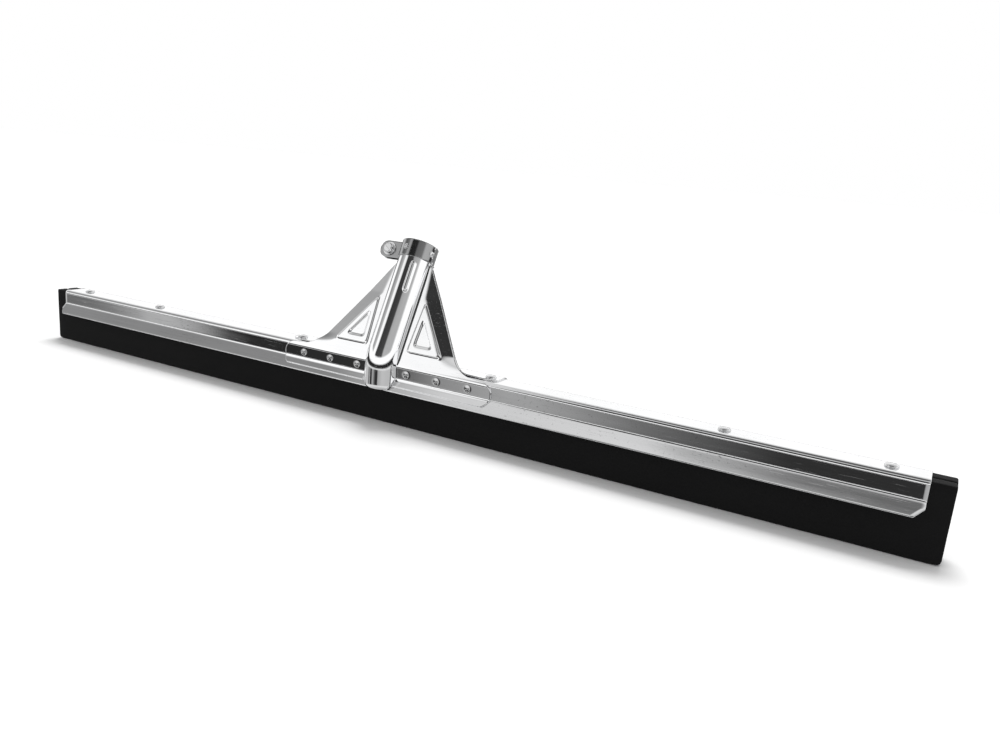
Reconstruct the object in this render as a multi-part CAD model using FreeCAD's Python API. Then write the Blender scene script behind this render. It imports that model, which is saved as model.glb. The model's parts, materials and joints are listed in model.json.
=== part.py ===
"""Floor squeegee head: folded steel channel, two foam rubber strips and a tilted, clamped handle socket.

Units are millimetres. X runs along the blade, Y points to the rear and Z points up.
The origin is the middle of the front strip's bottom edge, the edge that meets the floor.
Sections are drawn about the channel's middle plane, and main() moves every node by MIDDLE_Y.
"""

import FreeCAD
import Part

import math
import os

# Rubber strips
STRIP_LENGTH = 750.0
STRIP_THICKNESS = 9.3
FRONT_STRIP_DROP = 46.0
REAR_STRIP_DROP = 32.5

# Folded channel
SHEET = 1.0
CHANNEL_LENGTH = 724.0
CHANNEL_TOP = FRONT_STRIP_DROP + SHEET
WALL_FOOT = 34.9
LIP_RUN = 10.8
LIP_FLARE = 43.0
TOP_CORNER_RADIUS = 3.0
LIP_BEND_RADIUS = 2.5
LIP_CLIP = 6.5

# T-section rail between the strips
RAIL_WEB = 1.0
RAIL_LEG_HALF = 6.0
RAIL_LENGTH = 716.0
RAIL_FOOT = 30.0
STRIP_CLEARANCE = 0.05

# Rivets through the channel's top
RIVET_STATIONS = (-341.5, -248.0, -85.0, 85.0, 248.0, 341.5)
RIVET_SHANK_RADIUS = 2.0
RIVET_HEAD_RADIUS = 4.0
RIVET_HEAD_HEIGHT = 1.9

# Handle socket
SOCKET_TILT = 26.3
BORE_RADIUS = 12.0
SOCKET_TOP = 91.5
SOCKET_STOP = 8.5
NOSE_FOOT = 26.5
NOSE_ROUNDING = 4.5
STOP_LEDGE = 0.6
PLATE_BEND_RADIUS = 2.0

# Bracket outline
FOOT_HALF = 92.0
FOOT_FOOT = 29.7
FOOT_END_RADIUS = 8.5
FOOT_LIP_RUN = 5.5
WING_TOP_HALF = 15.6
WING_TOP = 114.0
WING_ROOT_HALF = 64.5
WING_ROOT_RADIUS = 28.0
EMBOSS = 0.8
OUTER_TRIANGLE = ((20.0, 50.0), (48.6, 9.3), (17.5, 9.3))
OUTER_TRIANGLE_RADII = [1.8, 2.5, 2.5]
INNER_TRIANGLE = ((23.2, 37.3), (38.9, 14.5), (21.9, 14.5))
INNER_TRIANGLE_RADII = [1.5, 1.8, 1.8]
WELD_STATIONS = (22.1, 47.8, 73.5)
WELD_HEIGHT = 39.9
WELD_RADIUS = 7.0
WELD_DEPTH = 0.4
BEAD_ANGLE = 30.0
BEAD_LENGTH = 24.0
BEAD_WIDTH = 4.4
BEAD_MIDDLE = 63.0
REAR_FOOT_BOTTOM = 36.6

# Clamp collar
COLLAR_SHEET = 0.8
COLLAR_HEIGHT = 13.0
EAR_GAP_HALF = 1.75
EAR_END = 33.0
EAR_END_RADIUS = 6.0
STAKE_ANGLES = (-12.0, 78.0)
STAKE_RADIUS = 1.5
STAKE_HEAD_RADIUS = 2.2
STAKE_HEAD_HEIGHT = 0.9
STAKE_INSET = 0.15

# Clamp screw, M4
SCREW_X = -24.5
SCREW_SHANK_RADIUS = 1.95
SCREW_THREAD_END = 7.2
SCREW_HEAD_RADIUS = 4.0
SCREW_HEAD_HEIGHT = 2.6
SCREW_HEAD_ROUNDING = 1.17
SLOT_WIDTH = 1.1
SLOT_DEPTH = 1.2
SLOT_TURN = 35.0
EAR_HOLE_RADIUS = 2.2
WASHER_RADIUS = 5.2
WASHER_THICKNESS = 0.8
WASHER_BORE_RADIUS = 2.15
NUT_FLATS = 7.0
NUT_HEIGHT = 3.2
NUT_BORE_RADIUS = 2.0
SEAT_GAP = 0.04

# Construction: how far cutters run past, joined pieces overlap, and full rounds stay from meeting
EXCESS = 5.0
OVERLAP = 0.1
ROUND_GAP = 0.01
FAR = 400.0

# Worked out from the sizes above
CHANNEL_HALF = RAIL_WEB / 2 + STRIP_THICKNESS + SHEET
MIDDLE_Y = (RAIL_WEB + STRIP_THICKNESS) / 2
TILT = math.radians(SOCKET_TILT)
FLARE = math.radians(LIP_FLARE)
TUBE_RADIUS = BORE_RADIUS + SHEET
LEDGE_RADIUS = BORE_RADIUS - STOP_LEDGE
SOCKET_AXIS_Z = CHANNEL_TOP - SHEET
WING_BEND_Z = CHANNEL_TOP - TOP_CORNER_RADIUS + TOP_CORNER_RADIUS * math.tan(TILT / 2)
SOCKET_AXIS_Y = -CHANNEL_HALF + (SOCKET_AXIS_Z - WING_BEND_Z) * math.tan(TILT)
COLLAR_RADIUS = TUBE_RADIUS + COLLAR_SHEET
COLLAR_FOOT = SOCKET_TOP - COLLAR_HEIGHT
SCREW_ALONG = SOCKET_TOP - COLLAR_HEIGHT / 2
EAR_OUTER = EAR_GAP_HALF + COLLAR_SHEET
WING_REACH = SOCKET_TOP + 4 * EXCESS

X_AXIS = FreeCAD.Vector(1, 0, 0)
Y_AXIS = FreeCAD.Vector(0, 1, 0)
Z_AXIS = FreeCAD.Vector(0, 0, 1)
SOCKET_PLACE = FreeCAD.Placement(
    FreeCAD.Vector(0, SOCKET_AXIS_Y, SOCKET_AXIS_Z),
    FreeCAD.Rotation(X_AXIS, -SOCKET_TILT),
)


def yz(point, x=0.0):
    """A point of a cross-section, at station x along the blade."""
    return FreeCAD.Vector(x, point[0], point[1])


def xz(point, y=0.0):
    """A point of a front view, at depth y."""
    return FreeCAD.Vector(point[0], y, point[1])


def rounded_face(points, radii):
    """A flat face with straight sides, whose corners have the given radii."""
    count = len(points)
    entries, exits, middles = [], [], []
    for i, corner in enumerate(points):
        before = (points[i - 1] - corner).normalize()
        after = (points[(i + 1) % count] - corner).normalize()
        if radii[i] <= 0:
            entries.append(corner)
            exits.append(corner)
            middles.append(None)
            continue
        half = before.getAngle(after) / 2
        middle = (before + after).normalize()
        entries.append(corner + before * (radii[i] / math.tan(half)))
        exits.append(corner + after * (radii[i] / math.tan(half)))
        middles.append(corner + middle * (radii[i] / math.sin(half) - radii[i]))
    edges = []
    for i in range(count):
        if middles[i] is not None:
            edges.append(Part.Arc(entries[i], middles[i], exits[i]).toShape())
        following = entries[(i + 1) % count]
        if exits[i].distanceToPoint(following) > 1e-6:
            edges.append(Part.LineSegment(exits[i], following).toShape())
    return Part.Face(Part.Wire(edges))


def offset_path(path, radii, distance):
    """An open path in a cross-section moved to its left by distance, with its bend radii fitted."""
    normals = []
    for start, end in zip(path, path[1:]):
        run = math.hypot(end[0] - start[0], end[1] - start[1])
        normals.append(((start[1] - end[1]) / run, (end[0] - start[0]) / run))
    moved = [(path[0][0] + normals[0][0] * distance, path[0][1] + normals[0][1] * distance)]
    fitted = [0.0]
    for i in range(1, len(path) - 1):
        (ax, ay), (bx, by) = normals[i - 1], normals[i]
        share = distance / (1 + ax * bx + ay * by)
        moved.append((path[i][0] + (ax + bx) * share, path[i][1] + (ay + by) * share))
        turn_left = ax * by - ay * bx > 0
        fitted.append(radii[i] - distance if turn_left else radii[i] + distance)
    moved.append((path[-1][0] + normals[-1][0] * distance, path[-1][1] + normals[-1][1] * distance))
    fitted.append(0.0)
    return moved, fitted


def bent_sheet(path, radii, thickness, half_length):
    """Sheet of the given thickness on the left of a path, reaching half_length to each side of X = 0."""
    moved, fitted = offset_path(path, radii, thickness)
    points = [yz(p, -half_length) for p in path + moved[::-1]]
    face = rounded_face(points, radii + fitted[::-1])
    return face.extrude(X_AXIS * 2 * half_length)


def disc(radius, low, high, centre=(0.0, 0.0)):
    """A cylinder along Z."""
    return Part.makeCylinder(radius, high - low, FreeCAD.Vector(centre[0], centre[1], low))


def block(low, high):
    """A box between two corners."""
    size = FreeCAD.Vector(*high) - FreeCAD.Vector(*low)
    return Part.makeBox(size.x, size.y, size.z, FreeCAD.Vector(*low))


def placed(shape):
    """A shape drawn about the socket's own axis, moved into the channel's frame."""
    moved = shape.copy()
    moved.Placement = SOCKET_PLACE.multiply(moved.Placement)
    return moved


def channel_path():
    """Outer surface of the channel's section, from the front lip over the top to the rear lip."""
    lip_y = CHANNEL_HALF + LIP_RUN * math.sin(FLARE)
    lip_z = WALL_FOOT - LIP_RUN * math.cos(FLARE)
    half = [(-lip_y, lip_z), (-CHANNEL_HALF, WALL_FOOT), (-CHANNEL_HALF, CHANNEL_TOP)]
    path = half + [(-y, z) for y, z in half[::-1]]
    return path, [0.0, LIP_BEND_RADIUS, TOP_CORNER_RADIUS, TOP_CORNER_RADIUS, LIP_BEND_RADIUS, 0.0]


def rivet_holes():
    """Cylinders of the rivet shanks' size, through everything at the channel's top."""
    holes = [disc(RIVET_SHANK_RADIUS, 0, 2 * CHANNEL_TOP, (x, 0)) for x in RIVET_STATIONS]
    return holes[0].fuse(holes[1:])


def blade_channel():
    """Folded channel that grips the strips, with flared lips, clipped lip corners and rivet holes."""
    path, radii = channel_path()
    shape = bent_sheet(path, radii, -SHEET, CHANNEL_LENGTH / 2)
    lip_z = path[0][1]
    for side in (-1, 1):
        end = side * (CHANNEL_LENGTH / 2 + 1)
        corner = [
            xz((end, lip_z + LIP_CLIP - 1), -FAR / 2),
            xz((end, lip_z - 2), -FAR / 2),
            xz((end - side * (LIP_CLIP + 1), lip_z - 2), -FAR / 2),
        ]
        shape = shape.cut(rounded_face(corner, [0.0] * 3).extrude(Y_AXIS * FAR))
    return shape.cut(rivet_holes())


def retaining_rail():
    """T-section rail that separates the strips and takes the rivets."""
    leg_top = CHANNEL_TOP - SHEET
    web_top = leg_top - SHEET
    half = RAIL_LENGTH / 2
    web = block((-half, -RAIL_WEB / 2, RAIL_FOOT), (half, RAIL_WEB / 2, web_top))
    leg = block((-half, -RAIL_LEG_HALF, web_top), (half, RAIL_LEG_HALF, leg_top))
    return web.fuse(leg).removeSplitter().cut(rivet_holes())


def rubber_strip(side, drop):
    """One foam strip, rebated at its top for the rail's leg; side is -1 at the front and 1 at the rear."""
    top = CHANNEL_TOP - SHEET
    rebate = RAIL_LEG_HALF + STRIP_CLEARANCE
    inner = RAIL_WEB / 2
    outer = inner + STRIP_THICKNESS
    shoulder = top - SHEET - STRIP_CLEARANCE
    section = [
        (inner, top - drop),
        (outer, top - drop),
        (outer, top),
        (rebate, top),
        (rebate, shoulder),
        (inner, shoulder),
    ]
    points = [yz((side * y, z), -STRIP_LENGTH / 2) for y, z in section]
    radii = [0.0, 0.0, TOP_CORNER_RADIUS - SHEET, 0.0, 0.0, 0.0]
    return rounded_face(points, radii).extrude(X_AXIS * STRIP_LENGTH)


def dome(radius, height, base):
    """A low dome standing on Z = base."""
    sphere_radius = (radius**2 + height**2) / (2 * height)
    centre = base + height - sphere_radius
    return Part.makeSphere(sphere_radius, FreeCAD.Vector(0, 0, centre)).common(
        disc(radius, base, base + height)
    )


def channel_rivet(x):
    """Dome-headed rivet; the two inner ones also hold the bracket's rear foot."""
    inner = abs(x) < FOOT_HALF
    seat = CHANNEL_TOP + (SHEET if inner else 0.0)
    shank = disc(RIVET_SHANK_RADIUS, CHANNEL_TOP - 2 * SHEET, seat + OVERLAP)
    shape = shank.fuse(dome(RIVET_HEAD_RADIUS, RIVET_HEAD_HEIGHT, seat)).removeSplitter()
    shape.translate(X_AXIS * x)
    return shape


def wing_outline():
    """Front view of the bracket's plates: rounded foot ends, wide fillets and straight wings."""
    foot_top = FOOT_FOOT + 2 * FOOT_END_RADIUS
    half = [
        (FOOT_HALF, FOOT_FOOT),
        (FOOT_HALF, foot_top),
        (WING_ROOT_HALF, foot_top),
        (WING_TOP_HALF, WING_TOP),
    ]
    radii = [FOOT_END_RADIUS - ROUND_GAP, FOOT_END_RADIUS - ROUND_GAP, WING_ROOT_RADIUS, 0.0]
    points = half + [(-x, z) for x, z in half[::-1]]
    face = rounded_face([xz(p, -FAR / 2) for p in points], radii + radii[::-1])
    return face.extrude(Y_AXIS * FAR)


def socket_bar(radius, foot, rounding):
    """Round bar along the socket's axis down to the bracket's bend, and upright below it."""
    bend = FreeCAD.Vector(0, SOCKET_AXIS_Y, SOCKET_AXIS_Z)
    mitre = FreeCAD.Placement(bend, FreeCAD.Rotation(X_AXIS, -SOCKET_TILT / 2))
    above = block((-FAR / 2, -FAR / 2, 0), (FAR / 2, FAR / 2, FAR))
    above.Placement = mitre.multiply(above.Placement)
    tilted = placed(disc(radius, -SOCKET_TOP, SOCKET_TOP)).common(above)
    upright = disc(radius, foot, CHANNEL_TOP + radius)
    rim = [e for e in upright.Edges if e.BoundBox.ZMax < foot + OVERLAP]
    upright = upright.makeFillet(rounding, rim)
    upright.translate(Y_AXIS * SOCKET_AXIS_Y)
    return tilted.fuse(upright.cut(above)).removeSplitter()


def emboss_triangle(grow, inner):
    """Corners of one embossed triangle in the right wing, in the socket's own front view."""
    if inner:
        points, radii = INNER_TRIANGLE, INNER_TRIANGLE_RADII
    else:
        points, radii = OUTER_TRIANGLE, OUTER_TRIANGLE_RADII
    centre_x = sum(p[0] for p in points) / 3
    centre_z = sum(p[1] for p in points) / 3
    spread = []
    for x, z in points:
        away = math.hypot(x - centre_x, z - centre_z)
        factor = 1 + 2 * grow / away
        spread.append((centre_x + (x - centre_x) * factor, centre_z + (z - centre_z) * factor))
    return spread, radii


def triangle_prism(side, grow, inner, low, high):
    """An embossed triangle as a prism between two depths in front of the socket's middle plane."""
    spread, radii = emboss_triangle(grow, inner)
    points = [xz((side * x, z), -low) for x, z in spread]
    return rounded_face(points, radii).extrude(Y_AXIS * (low - high))


def embossed(shape):
    """A front wing with its two framed triangles raised, and hollow behind."""
    for side in (-1, 1):
        raised = triangle_prism(side, 0.0, False, SHEET - OVERLAP, SHEET + EMBOSS)
        raised = raised.cut(triangle_prism(side, 0.0, True, 0, 2 * SHEET + EMBOSS))
        hollow = triangle_prism(side, -SHEET, False, -OVERLAP, EMBOSS)
        hollow = hollow.cut(triangle_prism(side, SHEET, True, -SHEET, 2 * SHEET))
        shape = shape.fuse(raised).cut(hollow)
    return shape


def grip_bead():
    """Long rounded bead raised from the socket's outer surface, to the right of its middle."""
    half, width = BEAD_LENGTH / 2, BEAD_WIDTH / 2
    corners = [(-width, -half), (width, -half), (width, half), (-width, half)]
    points = [xz((x, z + BEAD_MIDDLE)) for x, z in corners]
    stadium = rounded_face(points, [width - ROUND_GAP] * 4).extrude(-Y_AXIS * 2 * TUBE_RADIUS)
    stadium.rotate(FreeCAD.Vector(), Z_AXIS, BEAD_ANGLE)
    ring = disc(TUBE_RADIUS + EMBOSS, COLLAR_FOOT - BEAD_LENGTH * 2, COLLAR_FOOT)
    return stadium.common(ring).cut(disc(BORE_RADIUS + SHEET / 2, 0, SOCKET_TOP))


def stake_cutters(radius):
    """Radial cylinders where the collar is staked to the socket."""
    cutters = []
    for angle in STAKE_ANGLES:
        pin = disc(radius, BORE_RADIUS - 1, COLLAR_RADIUS + 1)
        pin.rotate(FreeCAD.Vector(), X_AXIS, 90)
        pin.rotate(FreeCAD.Vector(), Z_AXIS, angle)
        pin.translate(Z_AXIS * SCREW_ALONG)
        cutters.append(pin)
    return cutters


def weld_dimples(face_y):
    """Balls that leave a shallow round mark at every spot weld of a foot."""
    direction = -1 if face_y < 0 else 1
    balls = []
    for x in [side * station for side in (-1, 1) for station in WELD_STATIONS]:
        centre = FreeCAD.Vector(x, face_y + direction * (WELD_RADIUS - WELD_DEPTH), WELD_HEIGHT)
        balls.append(Part.makeSphere(WELD_RADIUS, centre))
    return balls[0].fuse(balls[1:])


def bracket_front_shell():
    """Front pressing: foot on the channel's front wall, wings, half of the socket and its nose."""
    lip = (
        -CHANNEL_HALF - FOOT_LIP_RUN * math.sin(FLARE),
        WALL_FOOT - FOOT_LIP_RUN * math.cos(FLARE),
    )
    bend = (-CHANNEL_HALF, WING_BEND_Z)
    top = (
        bend[0] + WING_REACH * math.sin(TILT),
        bend[1] + WING_REACH * math.cos(TILT),
    )
    path = [lip, (-CHANNEL_HALF, WALL_FOOT), bend, top]
    radii = [0.0, LIP_BEND_RADIUS, TOP_CORNER_RADIUS, 0.0]
    sheet = bent_sheet(path, radii, SHEET, FOOT_HALF + EXCESS).common(wing_outline())

    far_lip = (
        -CHANNEL_HALF - 2 * LIP_RUN * math.sin(FLARE),
        WALL_FOOT - 2 * LIP_RUN * math.cos(FLARE),
    )
    front = [far_lip] + path[1:] + [(-FAR, top[1]), (-FAR, far_lip[1])]
    front_space = rounded_face(
        [yz(p, -FAR / 2) for p in front], [0.0, LIP_BEND_RADIUS, TOP_CORNER_RADIUS, 0.0, 0.0, 0.0]
    ).extrude(X_AXIS * FAR)

    ridge = socket_bar(TUBE_RADIUS, NOSE_FOOT, NOSE_ROUNDING).common(front_space)
    wall = TUBE_RADIUS - LEDGE_RADIUS
    hollow = socket_bar(LEDGE_RADIUS, NOSE_FOOT + wall, NOSE_ROUNDING - wall)
    bore = disc(BORE_RADIUS, SOCKET_STOP, SOCKET_TOP + EXCESS)
    shape = sheet.fuse(ridge).cut(hollow).cut(placed(bore))

    local = shape.copy()
    local.Placement = SOCKET_PLACE.inverse()
    local = embossed(local).fuse(grip_bead().cut(bore)).cut(stake_cutters(STAKE_RADIUS))
    return placed(local).cut(weld_dimples(-CHANNEL_HALF - SHEET)).removeSplitter()


def bracket_rear_shell():
    """Rear pressing: half of the socket, wings, and a foot over the channel's top and rear wall."""
    bend_y = -CHANNEL_HALF + (CHANNEL_TOP - WING_BEND_Z) * math.tan(TILT)
    top = (bend_y + WING_REACH * math.sin(TILT), CHANNEL_TOP + WING_REACH * math.cos(TILT))
    path = [
        (CHANNEL_HALF, REAR_FOOT_BOTTOM),
        (CHANNEL_HALF, CHANNEL_TOP),
        (bend_y, CHANNEL_TOP),
        top,
    ]
    radii = [0.0, TOP_CORNER_RADIUS, PLATE_BEND_RADIUS, 0.0]
    sheet = bent_sheet(path, radii, -SHEET, FOOT_HALF + EXCESS)
    foot_top = CHANNEL_TOP + SHEET
    foot = block(
        (-FOOT_HALF, bend_y + TOP_CORNER_RADIUS, REAR_FOOT_BOTTOM - 1),
        (FOOT_HALF, CHANNEL_HALF + 2 * SHEET, foot_top + ROUND_GAP),
    )
    corner_edges = [e for e in foot.Edges if abs(e.tangentAt(e.FirstParameter).z) > 0.9]
    front_edges = [e for e in corner_edges if e.BoundBox.YMin < 0]
    foot = foot.makeFillet(FOOT_END_RADIUS, front_edges)
    corner_edges = [
        e
        for e in foot.Edges
        if abs(e.tangentAt(e.FirstParameter).y) > 0.9 and e.BoundBox.ZMax < foot_top - 1
    ]
    foot = foot.makeFillet(FOOT_END_RADIUS / 2, corner_edges)
    above = block((-FAR / 2, -FAR / 2, CHANNEL_TOP), (FAR / 2, FAR / 2, FAR))
    sheet = sheet.common(wing_outline().common(above).fuse(foot))

    rear_half = block((-FAR / 2, 0, -FAR / 2), (FAR / 2, FAR / 2, SOCKET_TOP))
    ridge = placed(disc(TUBE_RADIUS, -SOCKET_TOP, SOCKET_TOP).common(rear_half)).common(above)
    clear = block((-FAR / 2, -FAR / 2, foot_top), (FAR / 2, FAR / 2, FAR))
    bore = disc(BORE_RADIUS, SOCKET_STOP, SOCKET_TOP + EXCESS)
    below_stop = disc(LEDGE_RADIUS, -SOCKET_TOP, SOCKET_STOP + SHEET)
    hollow = placed(bore.fuse(below_stop)).common(clear)
    shape = sheet.fuse(ridge).cut(hollow)

    local = shape.copy()
    local.Placement = SOCKET_PLACE.inverse()
    turned = local.mirror(FreeCAD.Vector(), Y_AXIS)
    shape = placed(embossed(turned).mirror(FreeCAD.Vector(), Y_AXIS))
    return shape.cut(weld_dimples(CHANNEL_HALF + SHEET)).cut(rivet_holes()).removeSplitter()


def collar_band():
    """Clamp band round the socket's mouth, with two ears for the screw."""
    band = disc(COLLAR_RADIUS, COLLAR_FOOT, SOCKET_TOP)
    gap = block((-FAR, -EAR_GAP_HALF, COLLAR_FOOT - 1), (0, EAR_GAP_HALF, SOCKET_TOP + 1))
    bore = disc(TUBE_RADIUS, COLLAR_FOOT - 1, SOCKET_TOP + 1)
    shape = band.cut(bore).cut(gap)
    root = -TUBE_RADIUS - STAKE_INSET
    corners = [
        (-EAR_END, COLLAR_FOOT),
        (root, COLLAR_FOOT),
        (root, SOCKET_TOP),
        (-EAR_END, SOCKET_TOP),
    ]
    for low in (-EAR_OUTER, EAR_GAP_HALF):
        ear = rounded_face([xz(p, low) for p in corners], [EAR_END_RADIUS, 0.0, 0.0, EAR_END_RADIUS])
        shape = shape.fuse(ear.extrude(Y_AXIS * COLLAR_SHEET))
    shape = shape.cut(screw_cylinder(EAR_HOLE_RADIUS, -FAR, FAR))
    return placed(shape.cut(stake_cutters(STAKE_RADIUS)))


def screw_cylinder(radius, low, high):
    """A cylinder on the clamp screw's axis, between two depths behind the socket's middle plane."""
    base = FreeCAD.Vector(SCREW_X, low, SCREW_ALONG)
    return Part.makeCylinder(radius, high - low, base, Y_AXIS)


def collar_stake(index):
    """Small dome-headed pin that fixes the collar to the socket, flush inside the bore."""
    pin = disc(STAKE_RADIUS, BORE_RADIUS + STAKE_INSET, COLLAR_RADIUS + OVERLAP)
    pin = pin.fuse(dome(STAKE_HEAD_RADIUS, STAKE_HEAD_HEIGHT, COLLAR_RADIUS))
    pin.rotate(FreeCAD.Vector(), X_AXIS, 90)
    pin.rotate(FreeCAD.Vector(), Z_AXIS, STAKE_ANGLES[index])
    pin.translate(Z_AXIS * SCREW_ALONG)
    around = disc(COLLAR_RADIUS, COLLAR_FOOT, SOCKET_TOP).cut(stake_cutters(STAKE_RADIUS))
    return placed(pin.cut(around))


def clamp_screw():
    """Slotted pan-head screw; its head faces the front."""
    under_head = EAR_OUTER + WASHER_THICKNESS + 2 * SEAT_GAP
    head_top = under_head + SCREW_HEAD_HEIGHT
    head = screw_cylinder(SCREW_HEAD_RADIUS, -head_top, -under_head)
    rim = [e for e in head.Edges if abs(e.BoundBox.YMax + head_top) < 1e-6]
    head = head.makeFillet(SCREW_HEAD_ROUNDING, rim)
    slot = block(
        (-FAR, -head_top - 1, SCREW_ALONG - SLOT_WIDTH / 2),
        (0, -head_top + SLOT_DEPTH, SCREW_ALONG + SLOT_WIDTH / 2),
    )
    slot.rotate(FreeCAD.Vector(SCREW_X, 0, SCREW_ALONG), Y_AXIS, SLOT_TURN)
    shank = screw_cylinder(SCREW_SHANK_RADIUS, -under_head - OVERLAP, SCREW_THREAD_END)
    return placed(head.cut(slot).fuse(shank).removeSplitter())


def screw_washer():
    """Flat washer under the screw's head."""
    near = -EAR_OUTER - SEAT_GAP - WASHER_THICKNESS
    far = -EAR_OUTER - SEAT_GAP
    ring = screw_cylinder(WASHER_RADIUS, near, far)
    return placed(ring.cut(screw_cylinder(WASHER_BORE_RADIUS, near - 1, far + 1)))


def clamp_nut():
    """Hexagon nut fixed behind the rear ear."""
    corner = NUT_FLATS / 2 / math.cos(math.radians(30))
    corners = []
    for step in range(6):
        angle = math.radians(60 * step)
        corners.append(
            FreeCAD.Vector(
                SCREW_X + corner * math.cos(angle), EAR_OUTER, SCREW_ALONG + corner * math.sin(angle)
            )
        )
    nut = rounded_face(corners, [0.0] * 6).extrude(Y_AXIS * NUT_HEIGHT)
    return placed(nut.cut(screw_cylinder(NUT_BORE_RADIUS, 0, FAR)))


def nodes():
    """Every piece of the squeegee by node name."""
    found = {
        "blade_channel": blade_channel(),
        "retaining_rail": retaining_rail(),
        "front_strip": rubber_strip(-1, FRONT_STRIP_DROP),
        "rear_strip": rubber_strip(1, REAR_STRIP_DROP),
        "bracket_front_shell": bracket_front_shell(),
        "bracket_rear_shell": bracket_rear_shell(),
        "collar_band": collar_band(),
        "clamp_screw": clamp_screw(),
        "screw_washer": screw_washer(),
        "clamp_nut": clamp_nut(),
    }
    for number, x in enumerate(RIVET_STATIONS, 1):
        found[f"channel_rivet_{number}"] = channel_rivet(x)
    for index in range(len(STAKE_ANGLES)):
        found[f"collar_stake_{index + 1}"] = collar_stake(index)
    return found


def main():
    """Writes one STEP file for each node, and prints its solids and volume."""
    os.makedirs("parts", exist_ok=True)
    for name, shape in nodes().items():
        shape.translate(Y_AXIS * MIDDLE_Y)
        shape.exportStep(f"parts/{name}.step")
        print(name, len(shape.Solids), shape.isValid(), round(shape.Volume, 1), shape.BoundBox)


if __name__ == "__main__":
    main()
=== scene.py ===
"""Floor squeegee head: pressed and folded zinc-plated steel, foam rubber strips, studio and camera.

Every length is in metres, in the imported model's own frame: X along the blade, Y to the rear and Z up.
"""

import json
import logging
import math
from dataclasses import dataclass
from enum import Enum
from typing import Callable, Iterable, Sequence

import bmesh
import bpy
from mathutils import Matrix, Vector, noise


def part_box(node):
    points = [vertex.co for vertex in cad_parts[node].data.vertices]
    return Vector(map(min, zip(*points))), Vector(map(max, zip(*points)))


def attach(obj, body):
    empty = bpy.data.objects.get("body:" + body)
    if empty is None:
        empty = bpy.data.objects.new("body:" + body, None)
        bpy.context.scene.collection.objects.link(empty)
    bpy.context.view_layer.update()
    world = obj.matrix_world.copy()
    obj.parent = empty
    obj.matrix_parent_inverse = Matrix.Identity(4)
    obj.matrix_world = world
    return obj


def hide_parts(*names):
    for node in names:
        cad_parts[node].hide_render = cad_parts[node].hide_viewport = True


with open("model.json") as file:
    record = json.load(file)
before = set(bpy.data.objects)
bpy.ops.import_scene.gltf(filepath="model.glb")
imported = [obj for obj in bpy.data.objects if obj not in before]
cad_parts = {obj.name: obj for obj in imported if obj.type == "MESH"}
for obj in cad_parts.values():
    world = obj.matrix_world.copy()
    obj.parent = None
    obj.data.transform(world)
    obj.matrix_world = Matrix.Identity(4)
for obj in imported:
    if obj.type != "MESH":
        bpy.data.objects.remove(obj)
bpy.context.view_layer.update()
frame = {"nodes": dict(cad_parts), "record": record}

logging.basicConfig(level=logging.INFO, format="%(message)s")
log = logging.getLogger("squeegee")

MM = 0.001
SHEET = 1.0 * MM
Point = tuple[float, float]
Socket = bpy.types.NodeSocket
MERGE = 0.002 * MM


class Body(Enum):
    """The bodies that pieces ride on."""

    HEAD = "head"
    WASHER = "washer_travel"
    SCREW = "screw"


class Slot(Enum):
    """The record's material slots."""

    SHEET = "zinc_sheet"
    FASTENERS = "zinc_fasteners"
    RUBBER = "foam_rubber"


class Side(Enum):
    """Which face of the bracket a pressing is on; the value is the sign of its outward direction."""

    FRONT = 1
    REAR = -1


# ---------------------------------------------------------------------------------------------------------
# Shared shape helpers
# ---------------------------------------------------------------------------------------------------------


def smooth_step(low: float, high: float, value: float) -> float:
    """Rises smoothly from 0 at low to 1 at high."""
    share = min(1.0, max(0.0, (value - low) / (high - low)))
    return share * share * (3.0 - 2.0 * share)


def smooth_max(a: float, b: float, width: float) -> float:
    """The larger of two values, with the change-over rounded where they differ by less than width."""
    overlap = max(width - abs(a - b), 0.0) / width
    return max(a, b) + overlap * overlap * width / 4.0


def spread(low: float, high: float, steps: int) -> list[float]:
    """Evenly spaced values from low to high, both included."""
    return [low + (high - low) * i / steps for i in range(steps + 1)]


def meet(p: Point, p_way: Point, q: Point, q_way: Point) -> Point:
    """Where two straight lines of a cross-section cross.

    Args:
        p: A point on the first line.
        p_way: The first line's direction.
        q: A point on the second line.
        q_way: The second line's direction.

    Returns:
        The crossing point.
    """
    across = p_way[0] * q_way[1] - p_way[1] * q_way[0]
    run = ((q[0] - p[0]) * q_way[1] - (q[1] - p[1]) * q_way[0]) / across
    return p[0] + p_way[0] * run, p[1] + p_way[1] * run


def filleted(points: Sequence[Point], radii: Sequence[float], runs: Sequence[int], arc: int) -> list[Point]:
    """Samples an open path with rounded corners.

    Args:
        points: The path's ends and corners.
        radii: The radius at each corner, one fewer at each end than the points.
        runs: The number of steps along each straight run.
        arc: The number of steps round each corner.

    Returns:
        The sampled points; their number depends only on runs and arc.
    """
    vectors = [Vector(p) for p in points]
    sampled: list[Vector] = []
    start = vectors[0]
    for i, corner in enumerate(vectors[1:-1]):
        before = (vectors[i] - corner).normalized()
        after = (vectors[i + 2] - corner).normalized()
        half = before.angle(after) / 2.0
        reach = radii[i] / math.tan(half)
        centre = corner + (before + after).normalized() * (radii[i] / math.sin(half))
        entry, leave = corner + before * reach, corner + after * reach
        sampled += [start.lerp(entry, k / runs[i]) for k in range(runs[i])]
        first, last = entry - centre, leave - centre
        turn = first.angle(last)
        for k in range(arc):
            share = k / arc
            mixed = first * math.sin((1 - share) * turn) + last * math.sin(share * turn)
            sampled.append(centre + mixed / math.sin(turn))
        start = leave
    sampled += [start.lerp(vectors[-1], k / runs[-1]) for k in range(runs[-1] + 1)]
    return [(v.x, v.y) for v in sampled]


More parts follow.
